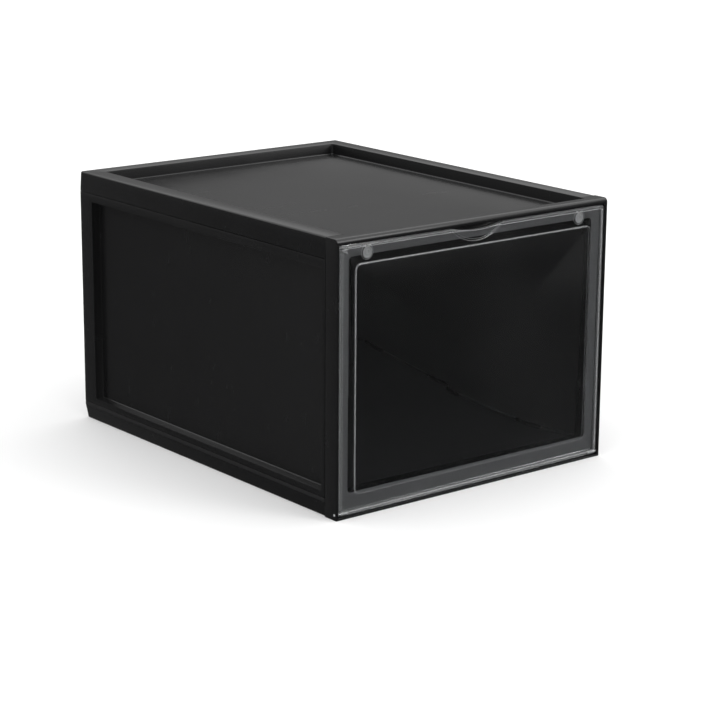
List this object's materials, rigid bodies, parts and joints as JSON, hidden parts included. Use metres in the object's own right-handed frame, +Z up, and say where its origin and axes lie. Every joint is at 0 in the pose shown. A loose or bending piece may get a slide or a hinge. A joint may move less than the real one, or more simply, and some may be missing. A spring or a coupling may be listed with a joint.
{
  "type": "stackable drop-front shoe box",
  "caption": "Black stackable box of snap-together panels with a raised top rim and a clear magnetic door that drops down on bottom pins.",
  "frame": {"origin": "centre of the footprint on the surface that the box stands on", "axes": "+Z up, -Y out of the door, +X to the right seen from the front; the depth from door to back lies along Y"},
  "size_m": [0.28, 0.36, 0.22],
  "materials": {
    "black_plastic": "moulded black plastic with a low satin sheen",
    "clear_plastic": "clear moulded plastic, polished, with bright edges",
    "pin_steel": "bright drawn steel",
    "nickel_plate": "nickel-plated, turned face",
    "magnet": "plated magnet, slightly dull"
  },
  "bodies": {
    "carcass": {"top_panel": "black_plastic", "bottom_panel": "black_plastic", "left_side_panel": "black_plastic", "right_side_panel": "black_plastic", "back_panel": "black_plastic", "front_frame": "black_plastic", "hinge_pin_left": "pin_steel", "hinge_pin_right": "pin_steel", "frame_magnet_left": "magnet", "frame_magnet_right": "magnet"},
    "door": {"door": "clear_plastic", "door_disc_left": "nickel_plate", "door_disc_right": "nickel_plate"}
  },
  "joints": [
    {"name": "door_hinge", "type": "hinge", "parent": "carcass", "child": "door", "pos_m": [0, -0.1773, 0.0044], "axis": [1, 0, 0], "range_deg": [0, 90]}
  ]
}
